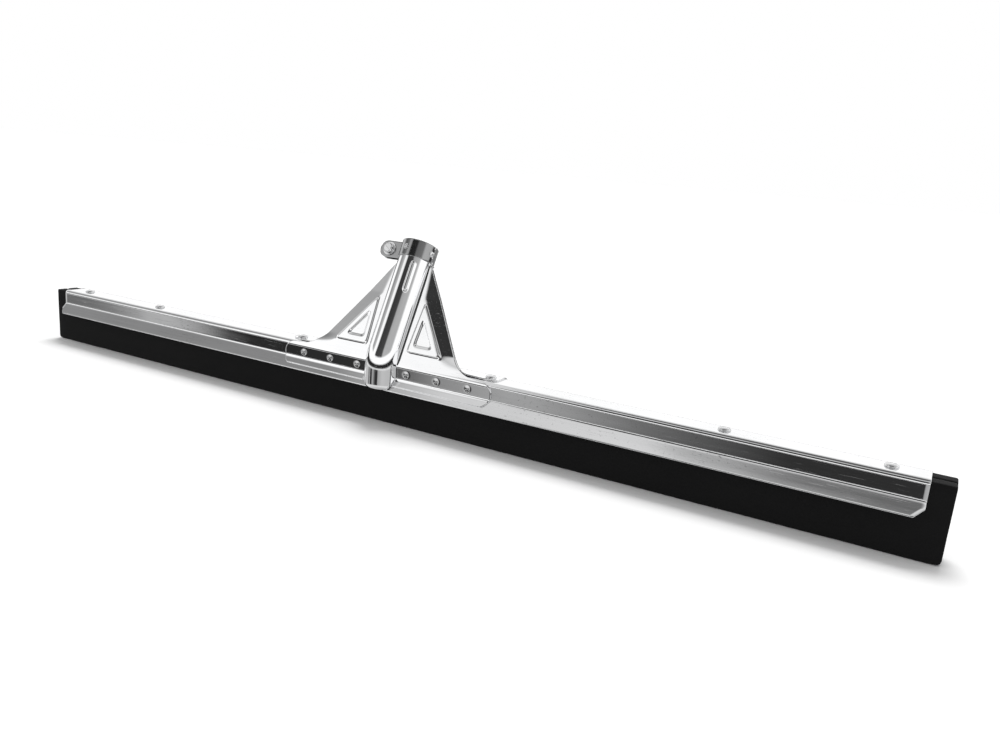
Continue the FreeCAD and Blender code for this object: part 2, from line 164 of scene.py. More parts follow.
def sheet_grid(columns: int, rows: int, place: Callable[[int, int], Vector]) -> bmesh.types.BMesh:
    """A grid whose vertices are put on a pressed surface.

    Args:
        columns: The number of vertices across.
        rows: The number of vertices down.
        place: Gives the place of the vertex at a column and a row.

    Returns:
        The new mesh.
    """
    bm = bmesh.new()
    bmesh.ops.create_grid(bm, x_segments=columns - 1, y_segments=rows - 1, size=1.0)
    for vertex in bm.verts:
        column = round((vertex.co.x + 1.0) / 2.0 * (columns - 1))
        row = round((vertex.co.y + 1.0) / 2.0 * (rows - 1))
        vertex.co = place(column, row)
    bmesh.ops.remove_doubles(bm, verts=bm.verts[:], dist=MERGE)
    bmesh.ops.dissolve_degenerate(bm, dist=MERGE, edges=bm.edges[:])
    return bm


def face_outwards(bm: bmesh.types.BMesh, outward: Vector) -> None:
    """Turns an open sheet's faces so that most of its area looks along outward."""
    if sum((f.normal * f.calc_area() for f in bm.faces), Vector()).dot(outward) < 0:
        bmesh.ops.reverse_faces(bm, faces=bm.faces[:])


def thicken(obj: bpy.types.Object, thickness: float) -> None:
    """Gives a sheet its thickness on its inner side.

    Args:
        obj: The sheet.
        thickness: Its thickness.
    """
    solid = obj.modifiers.new("sheet thickness", "SOLIDIFY")
    solid.thickness = thickness
    solid.offset = -1.0
    solid.use_quality_normals = True


def soften_edges(obj: bpy.types.Object, width: float, segments: int, angle: float = 42.0) -> None:
    """Rounds the sharp edges of a piece.

    Args:
        obj: The piece.
        width: The rounding's width.
        segments: The number of steps across it.
        angle: The sharpest turn, in degrees, that is left as it is.
    """
    bevel = obj.modifiers.new("edge rounding", "BEVEL")
    bevel.width = width
    bevel.segments = segments
    bevel.limit_method = "ANGLE"
    bevel.angle_limit = math.radians(angle)
    bevel.miter_outer = "MITER_ARC"
    bevel.use_clamp_overlap = True


def shade(mesh: bpy.types.Mesh, angle: float) -> None:
    """Smooth shading, except over edges sharper than angle in degrees."""
    mesh.shade_smooth()
    mesh.set_sharp_from_angle(angle=math.radians(angle))


def finish_piece(
    name: str,
    mesh: bpy.types.Mesh,
    material: bpy.types.Material,
    slot: Slot,
    body: Body,
    stands_for: Iterable[str],
) -> bpy.types.Object:
    """Links a new piece, dresses it, and gives it to its body.

    Args:
        name: The piece's name.
        mesh: Its mesh, in the model's frame.
        material: Its finish.
        slot: The record's slot for that finish; not used.
        body: The body that it rides on.
        stands_for: The CAD nodes that it stands for.

    Returns:
        The new object.
    """
    obj = bpy.data.objects.new(name, mesh)
    bpy.context.scene.collection.objects.link(obj)
    mesh.materials.clear()
    mesh.materials.append(material)
    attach(obj, body.value)
    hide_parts(*stands_for)
    log.info("%s: %d faces, rides on %s", name, len(mesh.polygons), body.value)
    return obj


def mesh_from(name: str, bm: bmesh.types.BMesh, angle: float = 40.0) -> bpy.types.Mesh:
    """Turns a finished bmesh into a shaded mesh.

    Args:
        name: The mesh's name.
        bm: The bmesh, which is freed.
        angle: Edges sharper than this, in degrees, stay sharp.

    Returns:
        The new mesh.
    """
    mesh = bpy.data.meshes.new(name)
    bm.to_mesh(mesh)
    bm.free()
    shade(mesh, angle)
    return mesh


def refined_copy(
    node: str,
    name: str,
    material: bpy.types.Material,
    slot: Slot,
    body: Body,
    rounding: float,
) -> None:
    """Makes a small machined part: the node's own shape, merged, with its edges rounded.

    Args:
        node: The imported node.
        name: The piece's name.
        material: Its finish.
        slot: The record's slot for that finish.
        body: The body that it rides on.
        rounding: The width of its rounded edges.
    """
    bm = bmesh.new()
    bm.from_mesh(frame["nodes"][node].data)
    bmesh.ops.remove_doubles(bm, verts=bm.verts[:], dist=0.001 * MM)
    flat = [e for e in bm.edges if e.is_manifold and e.calc_face_angle(0.0) < math.radians(1.0)]
    bmesh.ops.dissolve_edges(bm, edges=flat, use_verts=False, use_face_split=False)
    obj = finish_piece(name, mesh_from(name, bm, 30.0), material, slot, body, [node])
    soften_edges(obj, rounding, 2, 35.0)


# ---------------------------------------------------------------------------------------------------------
# Finishes
# ---------------------------------------------------------------------------------------------------------


class Nodes:
    """A node tree with short calls to add and join nodes."""

    def __init__(self, tree: bpy.types.NodeTree) -> None:
        """Starts from an empty tree."""
        self.tree = tree
        tree.nodes.clear()

    def add(self, kind: str, **settings: object) -> bpy.types.Node:
        """Adds a node.

        Args:
            kind: The node's type.
            **settings: Settings named in_X set input X, and the others set the node's own values.

        Returns:
            The new node.
        """
        node = self.tree.nodes.new(kind)
        for key, value in settings.items():
            if key.startswith("in_"):
                node.inputs[key[3:].replace("_", " ")].default_value = value
            else:
                setattr(node, key, value)
        return node

    def join(self, source: Socket, target: Socket) -> None:
        """Links an output to an input."""
        self.tree.links.new(source, target)

    def math(self, operation: str, *values: object) -> Socket:
        """Adds a Math node.

        Args:
            operation: What it does.
            *values: Its numbers and sockets, in order.

        Returns:
            Its result.
        """
        node = self.add("ShaderNodeMath", operation=operation)
        for index, value in enumerate(values):
            if isinstance(value, Socket):
                self.join(value, node.inputs[index])
            else:
                node.inputs[index].default_value = value
        return node.outputs[0]

    def noise(self, vector: Socket, scale: float, detail: float, rough: float) -> Socket:
        """Adds a noise pattern.

        Args:
            vector: Where the pattern is read.
            scale: How fine it is.
            detail: How many layers it has.
            rough: How strong the finer layers are.

        Returns:
            Its value.
        """
        node = self.add("ShaderNodeTexNoise", in_Scale=scale, in_Detail=detail, in_Roughness=rough)
        self.join(vector, node.inputs["Vector"])
        return node.outputs["Fac"]

    def stretched(self, vector: Socket, scale: tuple[float, float, float]) -> Socket:
        """Scales a vector differently along each axis.

        Args:
            vector: The vector.
            scale: The three factors.

        Returns:
            The scaled vector.
        """
        node = self.add("ShaderNodeMapping", in_Scale=scale)
        self.join(vector, node.inputs["Vector"])
        return node.outputs["Vector"]

    def ramp(self, value: Socket, stops: Sequence[Point]) -> Socket:
        """Adds a grey ramp.

        Args:
            value: The place on the ramp.
            stops: Each stop's position and brightness.

        Returns:
            The grey.
        """
        node = self.add("ShaderNodeValToRGB")
        elements = node.color_ramp.elements
        while len(elements) < len(stops):
            elements.new(0.5)
        for element, (position, grey) in zip(elements, stops):
            element.position = position
            element.color = (grey, grey, grey, 1.0)
        self.join(value, node.inputs["Fac"])
        return node.outputs["Color"]


def new_group(name: str, inputs: dict[str, float], outputs: dict[str, str]) -> bpy.types.NodeTree:
    """Makes an empty shader group with a vector input.

    Args:
        name: The group's name.
        inputs: Its number inputs and their defaults.
        outputs: Its outputs and their socket types.

    Returns:
        The group's tree.
    """
    tree = bpy.data.node_groups.new(name, "ShaderNodeTree")
    tree.interface.new_socket("Vector", in_out="INPUT", socket_type="NodeSocketVector")
    for key, value in inputs.items():
        socket = tree.interface.new_socket(key, in_out="INPUT", socket_type="NodeSocketFloat")
        socket.default_value = value
    for key, kind in outputs.items():
        tree.interface.new_socket(key, in_out="OUTPUT", socket_type=kind)
    return tree


def plated_group() -> bpy.types.NodeTree:
    """Tone, dullness and relief of bright plated sheet: rolling streaks, dull patches, specks and scratches.

    Returns:
        The group's tree.
    """
    tree = new_group(
        "plated_steel",
        {"Streaks": 1.0, "Specks": 1.0, "Waviness": 1.0},
        {"Tone": "NodeSocketFloat", "Dullness": "NodeSocketFloat", "Relief": "NodeSocketFloat"},
    )
    n = Nodes(tree)
    given = n.add("NodeGroupInput")
    result = n.add("NodeGroupOutput")
    place = given.outputs["Vector"]
    along = n.stretched(place, (5.0, 160.0, 160.0))
    streak = n.noise(along, 3.0, 6.0, 0.65)
    cloud = n.noise(place, 26.0, 5.0, 0.6)
    fine = n.noise(place, 900.0, 3.0, 0.6)
    speck_place = n.stretched(place, (1.0, 1.6, 1.6))
    speck = n.ramp(n.noise(speck_place, 420.0, 3.0, 0.7), [(0.60, 0.0), (0.72, 1.0)])
    patch = n.ramp(n.noise(place, 13.0, 3.0, 0.55), [(0.42, 0.0), (0.68, 1.0)])
    scratch_way = n.stretched(place, (26.0, 900.0, 900.0))
    scratch = n.ramp(n.noise(scratch_way, 2.0, 2.0, 0.5), [(0.66, 0.0), (0.72, 1.0)])
    dirt = n.math("MULTIPLY", n.math("MULTIPLY", speck, patch), given.outputs["Specks"])
    streaks = n.math("MULTIPLY", n.math("SUBTRACT", streak, 0.5), given.outputs["Streaks"])
    streaked = n.math("ADD", 1.0, n.math("MULTIPLY", streaks, 0.16))
    tone = n.math("SUBTRACT", streaked, n.math("MULTIPLY", dirt, 0.45))
    n.join(n.math("SUBTRACT", tone, n.math("MULTIPLY", patch, 0.05)), result.inputs["Tone"])
    dull = n.math("ADD", n.math("MULTIPLY", cloud, 0.5), n.math("MULTIPLY", streaks, 0.8))
    dull = n.math("ADD", dull, n.math("MULTIPLY", n.math("ADD", scratch, dirt), 0.5))
    n.join(dull, result.inputs["Dullness"])
    wave = n.noise(n.stretched(place, (0.45, 1.0, 1.0)), 24.0, 2.0, 0.45)
    relief = n.math("MULTIPLY", wave, given.outputs["Waviness"])
    relief = n.math("ADD", relief, n.math("MULTIPLY", fine, 0.012))
    relief = n.math("SUBTRACT", relief, n.math("MULTIPLY", n.math("ADD", scratch, dirt), 0.012))
    n.join(relief, result.inputs["Relief"])
    return tree


def foam_group() -> bpy.types.NodeTree:
    """Bloom and relief of cut foam rubber: fine pores, faint dust and soft dents.

    Returns:
        The group's tree.
    """
    tree = new_group(
        "foam_rubber_skin",
        {"Pores": 1.0},
        {"Bloom": "NodeSocketFloat", "Relief": "NodeSocketFloat"},
    )
    n = Nodes(tree)
    given = n.add("NodeGroupInput")
    result = n.add("NodeGroupOutput")
    place = given.outputs["Vector"]
    cells = n.add("ShaderNodeTexVoronoi", in_Scale=1500.0)
    n.join(place, cells.inputs["Vector"])
    pore = n.ramp(cells.outputs["Distance"], [(0.08, 0.0), (0.45, 1.0)])
    grain = n.noise(place, 2600.0, 2.0, 0.6)
    cloud = n.noise(n.stretched(place, (0.3, 1.0, 1.0)), 40.0, 4.0, 0.6)
    dust = n.ramp(n.noise(place, 700.0, 3.0, 0.75), [(0.66, 0.0), (0.78, 1.0)])
    bloom = n.math("ADD", n.math("MULTIPLY", cloud, 0.6), n.math("MULTIPLY", dust, 0.5))
    n.join(bloom, result.inputs["Bloom"])
    relief = n.math("ADD", n.math("MULTIPLY", pore, given.outputs["Pores"]), n.math("MULTIPLY", grain, 0.35))
    n.join(n.math("ADD", relief, n.math("MULTIPLY", cloud, 0.5)), result.inputs["Relief"])
    return tree


@dataclass(frozen=True)
class PlatedFinish:
    """Bright zinc plating on steel."""

    name: str
    bright: float
    gloss: tuple[float, float]
    streaks: float
    specks: float
    waviness: float

    def material(self, group: bpy.types.NodeTree) -> bpy.types.Material:
        """Builds the material round the shared plating group.

        Args:
            group: The shared group.

        Returns:
            The material.
        """
        made = bpy.data.materials.new(self.name)
        made.use_nodes = True
        n = Nodes(made.node_tree)
        place = n.add("ShaderNodeTexCoord").outputs["Object"]
        plated = n.add(
            "ShaderNodeGroup",
            node_tree=group,
            in_Streaks=self.streaks,
            in_Specks=self.specks,
            in_Waviness=self.waviness,
        )
        n.join(place, plated.inputs["Vector"])
        shader = n.add("ShaderNodeBsdfPrincipled", in_Metallic=1.0)
        tint = n.add("ShaderNodeMix", data_type="RGBA", clamp_factor=True)
        dark, bright = tint.inputs[6], tint.inputs[7]
        dark.default_value = (0.0, 0.0, 0.0, 1.0)
        bright.default_value = (self.bright, self.bright * 1.004, self.bright * 1.012, 1.0)
        n.join(plated.outputs["Tone"], tint.inputs[0])
        n.join(tint.outputs[2], shader.inputs["Base Color"])
        low, high = self.gloss
        rough = n.math("ADD", n.math("MULTIPLY", plated.outputs["Dullness"], high - low), low)
        n.join(n.math("MINIMUM", n.math("MAXIMUM", rough, 0.05), 0.6), shader.inputs["Roughness"])
        bump = n.add("ShaderNodeBump", in_Strength=0.6, in_Distance=0.6 * MM)
        n.join(plated.outputs["Relief"], bump.inputs["Height"])
        n.join(bump.outputs["Normal"], shader.inputs["Normal"])
        out = n.add("ShaderNodeOutputMaterial")
        n.join(shader.outputs["BSDF"], out.inputs["Surface"])
        return made


@dataclass(frozen=True)
class FoamFinish:
    """Matte black foam rubber."""

    name: str
    dark: float
    bloom: float
    pores: float

    def material(self, group: bpy.types.NodeTree) -> bpy.types.Material:
        """Builds the material round the shared foam group.

        Args:
            group: The shared group.

        Returns:
            The material.
        """
        made = bpy.data.materials.new(self.name)
        made.use_nodes = True
        n = Nodes(made.node_tree)
        place = n.add("ShaderNodeTexCoord").outputs["Object"]
        skin = n.add("ShaderNodeGroup", node_tree=group, in_Pores=self.pores)
        n.join(place, skin.inputs["Vector"])
        shader = n.add("ShaderNodeBsdfPrincipled")
        shader.inputs["Roughness"].default_value = 0.66
        shader.inputs["Specular IOR Level"].default_value = 0.14
        tint = n.add("ShaderNodeMix", data_type="RGBA", clamp_factor=True)
        tint.inputs[6].default_value = (self.dark, self.dark, self.dark * 1.05, 1.0)
        tint.inputs[7].default_value = (self.bloom, self.bloom, self.bloom * 1.03, 1.0)
        n.join(skin.outputs["Bloom"], tint.inputs[0])
        n.join(tint.outputs[2], shader.inputs["Base Color"])
        bump = n.add("ShaderNodeBump", in_Strength=0.5, in_Distance=0.25 * MM)
        n.join(skin.outputs["Relief"], bump.inputs["Height"])
        n.join(bump.outputs["Normal"], shader.inputs["Normal"])
        out = n.add("ShaderNodeOutputMaterial")
        n.join(shader.outputs["BSDF"], out.inputs["Surface"])
        return made


class Finishes:
    """The object's materials."""

    def __init__(self) -> None:
        """Builds the shared groups once, and each finish from them."""
        plated, foam = plated_group(), foam_group()
        self.channel = PlatedFinish("channel_zinc", 0.88, (0.04, 0.20), 1.3, 1.0, 0.55).material(plated)
        self.bracket = PlatedFinish("bracket_zinc", 0.92, (0.03, 0.13), 0.4, 0.3, 0.30).material(plated)
        # Painted shade: the collar's zinc gets a far darker base colour than the bracket's, standing in for
        # its darker reflections.
        self.collar = PlatedFinish("collar_zinc_painted_shade", 0.33, (0.07, 0.24), 0.8, 0.6, 0.3).material(plated)
        self.fastener = PlatedFinish("fastener_zinc", 0.78, (0.14, 0.34), 0.3, 0.5, 0.1).material(plated)
        self.rail = PlatedFinish("rail_zinc", 0.62, (0.25, 0.45), 1.0, 0.8, 0.2).material(plated)
        self.front_foam = FoamFinish("front_foam", 0.004, 0.009, 0.7).material(foam)
        self.rear_foam = FoamFinish("rear_foam", 0.004, 0.008, 0.9).material(foam)


# ---------------------------------------------------------------------------------------------------------
# Sub-assemblies
# ---------------------------------------------------------------------------------------------------------


@dataclass
class Channel:
    """The folded channel, seen as one outer surface from lip to lip."""

    wall_foot: float = 34.9 * MM
    lip_flare: float = math.radians(43.0)
    lip_run: float = 10.8 * MM
    top_radius: float = 3.0 * MM
    lip_radius: float = 2.5 * MM
    lip_clip: float = 5.0 * MM
    clip_rise: float = 4.4 * MM
    unevenness: float = 0.10 * MM
    steady: float = 8.0 * MM
    edge_rounding: float = 0.22 * MM
    stations: int = 260
    runs: tuple[int, ...] = (10, 10, 12, 10, 10)
    arc: int = 6

    def __post_init__(self) -> None:
        """Reads the walls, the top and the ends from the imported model."""
        low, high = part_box("blade_channel")
        self.end = high.x
        self.top = high.z
        self.front_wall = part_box("front_strip")[0].y - SHEET
        self.rear_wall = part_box("rear_strip")[1].y + SHEET
        self.middle = (self.front_wall + self.rear_wall) / 2.0
        self.inner_top = self.top - SHEET
        self.lip_way = (-math.sin(self.lip_flare), -math.cos(self.lip_flare))

    def section(self) -> list[Point]:
        """Draws the outer surface's section, from the front lip over the top to the rear lip.

        Returns:
            The section's points, as (y, z).
        """
        reach = (self.lip_way[0] * self.lip_run, self.lip_way[1] * self.lip_run)
        half = [
            (self.front_wall + reach[0], self.wall_foot + reach[1]),
            (self.front_wall, self.wall_foot),
            (self.front_wall, self.top),
        ]
        path = half + [(2.0 * self.middle - y, z) for y, z in half[::-1]]
        radii = [self.lip_radius, self.top_radius, self.top_radius, self.lip_radius]
        return filleted(path, radii, self.runs, self.arc)

    def station_half(self, z: float, lip_z: float) -> float:
        """How far the sheet reaches along X, with the lips' corners clipped.

        Args:
            z: The height.
            lip_z: The height of the lips' edges.

        Returns:
            Half the sheet's length there.
        """
        cut = max(0.0, lip_z + self.clip_rise - z) / self.clip_rise * self.lip_clip
        return self.end - cut

    def build(self, finishes: Finishes) -> None:
        """Makes the channel, with the slight waviness of folded sheet.

        Args:
            finishes: The object's materials.
        """
        section = self.section()
        lip_z = section[0][1]
        steps = spread(-1.0, 1.0, self.stations)

        def place(column: int, row: int) -> Vector:
            y, z = section[row]
            x = steps[column] * self.station_half(z, lip_z)
            if z >= self.top - SHEET:
                return Vector((x, y, z))
            free = smooth_step(0.0, self.steady, abs(z - self.wall_foot))
            wave = noise.noise(Vector((x * 9.0, y * 40.0, z * 40.0)), noise_basis="PERLIN_NEW")
            return Vector((x, y + wave * self.unevenness * free, z))

        bm = sheet_grid(len(steps), len(section), place)
        top_faces = [f for f in bm.faces if f.calc_center_median().z > self.top - 0.1 * MM]
        if sum(f.normal.z for f in top_faces) < 0:
            bmesh.ops.reverse_faces(bm, faces=bm.faces[:])
        mesh = mesh_from("channel_sheet", bm)
        obj = finish_piece(
            "channel_sheet", mesh, finishes.channel, Slot.SHEET, Body.HEAD, ["blade_channel"]
        )
        thicken(obj, SHEET)
        soften_edges(obj, self.edge_rounding, 2, 60.0)


@dataclass
class Triangle:
    """One embossed triangle of the right wing, in the socket's own front view."""

    corners: tuple[Point, Point, Point]
    height: float
    slope: float = 1.3 * MM
    rounding: float = 3.0 * MM

    def lift(self, x: float, along: float) -> float:
        """How far the triangle raises the wing.

        Args:
            x: The place across the wing; the left wing mirrors the right.
            along: The place up the axis.

        Returns:
            The rise, which is negative for a triangle pressed back.
        """
        middle = (sum(c[0] for c in self.corners) / 3.0, sum(c[1] for c in self.corners) / 3.0)
        outside = -1.0
        for (ax, ay), (bx, by) in zip(self.corners, self.corners[1:] + self.corners[:1]):
            length = math.hypot(bx - ax, by - ay)
            normal = ((by - ay) / length, (ax - bx) / length)
            if (middle[0] - ax) * normal[0] + (middle[1] - ay) * normal[1] > 0:
                normal = (-normal[0], -normal[1])
            gone = (abs(x) - ax) * normal[0] + (along - ay) * normal[1]
            outside = gone if outside == -1.0 else smooth_max(outside, gone, self.rounding)
        return self.height * (1.0 - smooth_step(-self.slope, 0.0, outside))


@dataclass
class Bracket:
    """The two pressings that carry the handle, drawn about the socket's own axis.

    A place is given as x, along (up the axis from the channel's inner top) and out (in front of the axis).
    """

    channel: Channel
    foot_half: float = 92.0 * MM
    foot_low: float = 29.9 * MM
    foot_radius: float = 8.5 * MM
    wing_top: Point = (15.6 * MM, 114.0 * MM)
    wing_root: float = 64.5 * MM
    root_radius: float = 28.0 * MM
    foot_lip: float = 5.7 * MM
    nose_rounding: float = 4.5 * MM
    root_fillet: float = 2.6 * MM
    skirt_fall: float = 3.5
    fold_radius: float = 8.0 * MM
    knee_radius: float = 42.0 * MM
    curl_band: float = 15.0 * MM
    curl_start: float = 4.0 * MM
    curl: float = 0.13
    curl_share: float = 0.8
    curl_rise: Point = (4.0 * MM, 14.0 * MM)
    rear_fold_radius: float = 2.2 * MM
    rear_spread: Point = (1.5 * MM, 9.0 * MM)
    rear_relief_start: float = 4.0 * MM
    rear_weld_end: float = 2.0 * MM
    plate_room: float = 0.3 * MM
    foot_room: float = 0.5 * MM
    edge_room: float = 0.4 * MM
    top_blend: float = 1.5 * MM
    skirt_width: float = 3.2 * MM
    column_step: float = 0.01 * MM
    wave_depth: float = 0.09 * MM
    edge_rounding: float = 0.2 * MM
    weld_stations: tuple[float, ...] = (22.1 * MM, 47.8 * MM, 73.5 * MM)
    weld_height: float = 39.9 * MM
    weld_radius: float = 3.2 * MM
    weld_depth: float = 0.45 * MM
    bead_angle: float = math.radians(30.0)
    bead_middle: float = 63.0 * MM
    bead_half: float = 12.0 * MM
    bead_width: float = 2.2 * MM
    bead_flat: float = 0.9 * MM
    bead_lift: float = 1.0 * MM
    collar_height: float = 13.0 * MM
    ridge_steps: int = 64
    skirt_steps: int = 10
    wing_steps: int = 96
    front_runs: tuple[int, ...] = (100, 16, 10)
    front_arc: int = 10
    rear_runs: tuple[int, ...] = (100, 16, 12)
    rear_arc: int = 8

    def __post_init__(self) -> None:
        """Reads the socket's axis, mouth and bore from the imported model's mount."""
        mount = next(m for m in frame["record"]["mounts"] if m["name"] == "handle_socket")
        self.axis = Vector(mount["axis"]).normalized()
        self.front = Vector((0.0, -self.axis.z, self.axis.y))
        self.bore = mount["dims"]["r_mm"] * MM
        self.tube = self.bore + SHEET
        mouth = Vector(mount["pos_m"])
        self.top = (mouth.z - self.channel.inner_top) / self.axis.z
        self.datum = mouth - self.axis * self.top
        self.foot_top = self.foot_low + 2.0 * self.foot_radius
        self.outer = Triangle(
            ((20.0 * MM, 50.0 * MM), (48.6 * MM, 9.3 * MM), (17.5 * MM, 9.3 * MM)), 0.8 * MM
        )
        self.inner = Triangle(
            ((23.2 * MM, 37.3 * MM), (38.9 * MM, 14.5 * MM), (21.9 * MM, 14.5 * MM)), -0.8 * MM
        )
        self.nose_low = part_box("bracket_front_shell")[0].z
        self.rear_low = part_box("bracket_rear_shell")[0].z

    def place(self, x: float, along: float, out: float) -> Vector:
        """A place about the socket's axis, in the model's frame."""
        return self.datum + Vector((x, 0.0, 0.0)) + self.axis * along + self.front * out

    def half_width(self, z: float) -> float:
        """Half the width of the pressings: foot ends, wide fillets and straight wings.

        Args:
            z: The height.

        Returns:
            Half the width there.
        """
        top_x, top_z = self.wing_top
        narrow = self.tube + self.edge_room
        if z >= top_z:
            return narrow + (top_x - narrow) * (1.0 - smooth_step(top_z, top_z + self.top_blend, z))
        if z <= self.foot_top:
            rise = min(abs(z - self.foot_low - self.foot_radius), self.foot_radius)
            return self.foot_half - self.foot_radius + math.sqrt(self.foot_radius**2 - rise**2)
        slope = math.atan2(top_z - self.foot_top, self.wing_root - top_x)
        reach = self.root_radius * math.tan(slope / 2.0)
        if z < self.foot_top + reach * math.sin(slope):
            drop = self.root_radius - (z - self.foot_top)
            return self.wing_root + reach - math.sqrt(self.root_radius**2 - drop**2)
        return self.wing_root - (z - self.foot_top) / math.tan(slope)

    def column(self, index: int) -> tuple[str, float]:
        """Says what a column of the grid belongs to.

        Args:
            index: The column's number.

        Returns:
            The ridge, the skirt or the wing, and its angle on the ridge or its share across the others.
        """
        wing, skirt, ridge = self.wing_steps, self.skirt_steps, self.ridge_steps
        index -= wing + skirt
        if 0 <= index <= ridge:
            return "ridge", (index / ridge - 0.5) * math.pi
        side = -1.0 if index < 0 else 1.0
        gone = -index if index < 0 else index - ridge
        if gone <= skirt:
            return "skirt", side * gone / skirt
        return "wing", side * (gone - skirt) / wing

    def columns(self) -> int:
        """The number of columns in a pressing's grid."""
        return 2 * (self.wing_steps + self.skirt_steps) + self.ridge_steps + 1

    def across(self, kind: str, share: float, radius: float, half: float) -> float:
        """Finds a column's place along X.

        Args:
            kind: What the column belongs to.
            share: Its angle on the ridge, or its share across the skirt or wing.
            radius: The ridge's radius.
            half: Half the pressing's width at this height.

        Returns:
            The place along X.
        """
        skirt = self.skirt_width
        if kind == "ridge":
            return radius * math.sin(share)
        if kind == "skirt":
            reach = min(radius + abs(share) * skirt, half + abs(share) * self.column_step)
            return math.copysign(reach, share)
        return math.copysign(min(radius + skirt, half) + max(half - radius - skirt, 0.0) * abs(share), share)

    def depth(self, kind: str, value: float) -> float:
        """Finds how far a pressing's outer surface stands off the socket's middle plane.

        Args:
            kind: What the column belongs to.
            value: Its angle or share.

        Returns:
            The distance.
        """
        if kind == "wing":
            return SHEET
        x = abs(self.across(kind, value, self.tube, self.foot_half))
        ridge = self.skirt_fall * (self.tube - x)
        if x < self.tube:
            ridge = math.sqrt(self.tube**2 - x**2)
        return smooth_max(SHEET, ridge, self.root_fillet)

    def curl_back(self, x: float, along: float) -> float:
        """Finds how far a wing curls to the rear towards its outer edge.

        Args:
            x: The place across the wing.
            along: The place up the axis.

        Returns:
            The distance.
        """
        edge = self.wing_edge(along)
        band = min(self.curl_band, self.curl_share * (edge - self.tube))
        past = max(abs(x) - (edge - band), 0.0)
        bend = min(past, self.curl_start)
        drop = self.curl * (past - bend + bend**2 / (2.0 * self.curl_start))
        return drop * smooth_step(*self.curl_rise, along)

    def wing_edge(self, along: float) -> float:
        """Where a wing's outer edge is, at a place up the axis."""
        return self.half_width((self.datum + self.axis * along).z)

    def emboss(self, x: float, along: float) -> float:
        """The framed triangles' relief on a wing."""
        return self.outer.lift(x, along) + self.inner.lift(x, along)

    def bead(self, angle: float, along: float) -> float:
        """Finds the relief of the long bead on the ridge.

        Args:
            angle: The place round the socket.
            along: The place up the axis.

        Returns:
            The rise.
        """
        across = (angle - self.bead_angle) * self.tube
        past = max(abs(along - self.bead_middle) - (self.bead_half - self.bead_width), 0.0)
        away = math.hypot(across, past)
        return self.bead_lift * (1.0 - smooth_step(self.bead_flat, self.bead_width, away))

    def welds(self, x: float, z: float) -> float:
        """The depth of the spot welds' dimples on a foot."""
        near = min(math.hypot(abs(x) - station, z - self.weld_height) for station in self.weld_stations)
        return self.weld_depth * (1.0 - smooth_step(0.0, self.weld_radius, near))

    def waviness(self, x: float, along: float) -> float:
        """The slight unevenness of pressed sheet."""
        wave = noise.noise(Vector((x * 38.0, along * 38.0, 2.0)), noise_basis="PERLIN_NEW")
        return self.wave_depth * wave

    def front_path(self, kind: str, value: float) -> list[Point]:
        """Draws a column of the front pressing: down the tilt, upright, and round the lip or nose.

        Args:
            kind: What the column belongs to.
            value: Its angle or share.

        Returns:
            The column's points, as (y, z).
        """
        c = self.channel
        depth = self.depth(kind, value)
        share = min(max((depth - SHEET) / self.root_fillet, 0.0), 1.0)
        wall = c.front_wall - SHEET
        start = self.place(0.0, self.top, depth)
        upright = min(wall, self.datum.y - depth) if share > 0.0 else wall
        corner = meet((start.y, start.z), (self.axis.y, self.axis.z), (upright, 0.0), (0.0, 1.0))
        lip_way = Vector(c.lip_way).lerp(Vector((1.0, 0.0)), smooth_step(0.0, 1.0, share))
        lip_way.normalize()
        low = c.wall_foot + (self.nose_low - c.wall_foot) * share
        run = self.foot_lip + (wall - upright + 1.2 * SHEET - self.foot_lip) * share
        run = max(run, self.foot_lip)
        end = (upright + lip_way.x * run, low + lip_way.y * run)
        turn = 2.0 * c.lip_radius + (self.nose_rounding - 2.0 * c.lip_radius) * share
        return filleted(
            [(start.y, start.z), corner, (upright, low), end],
            [self.fold_radius + (self.knee_radius - self.fold_radius) * share, min(turn, 0.8 * run)],
            self.front_runs,
            self.front_arc,
        )

    def build_front(self, finishes: Finishes) -> None:
        """Makes the front pressing."""
        bm = self.pressing(Side.FRONT)
        face_outwards(bm, self.front)
        self.finish(bm, "bracket_front_pressing", "bracket_front_shell", finishes)

    def rear_path(self, depth: float) -> list[Point]:
        """Draws a column of the rear pressing: down the socket, over the top and down the rear wall.

        Args:
            depth: How far the column stands off the socket's middle plane.

        Returns:
            The column's points, as (y, z).
        """
        c = self.channel
        plate = c.top + SHEET
        wall = c.rear_wall + SHEET
        start = self.place(0.0, self.top, -depth)
        corner = meet((start.y, start.z), (self.axis.y, self.axis.z), (0.0, plate), (1.0, 0.0))
        return filleted(
            [(start.y, start.z), corner, (wall, plate), (wall, self.rear_low)],
            [self.rear_fold_radius, c.top_radius + SHEET],
            self.rear_runs,
            self.rear_arc,
        )

    def rear_half(self, y: float, z: float) -> float:
        """Half the width of the rear pressing at a place of its path.

        Args:
            y: The place front to rear.
            z: The height.

        Returns:
            Half the width there.
        """
        c = self.channel
        plate = c.top + SHEET
        wing = self.half_width(max(z, self.foot_top + self.foot_room))
        if z > plate + self.plate_room:
            return wing
        share = smooth_step(*self.rear_spread, y - c.front_wall)
        half = wing + (self.foot_half - wing) * share
        radius = self.foot_radius / 2.0
        rise = max(self.rear_low + radius - z, 0.0)
        return half - radius + math.sqrt(max(radius**2 - rise**2, 0.0))

    def build_rear(self, finishes: Finishes) -> None:
        """Makes the rear pressing."""
        bm = self.pressing(Side.REAR)
        face_outwards(bm, -self.front)
        self.finish(bm, "bracket_rear_pressing", "bracket_rear_shell", finishes)

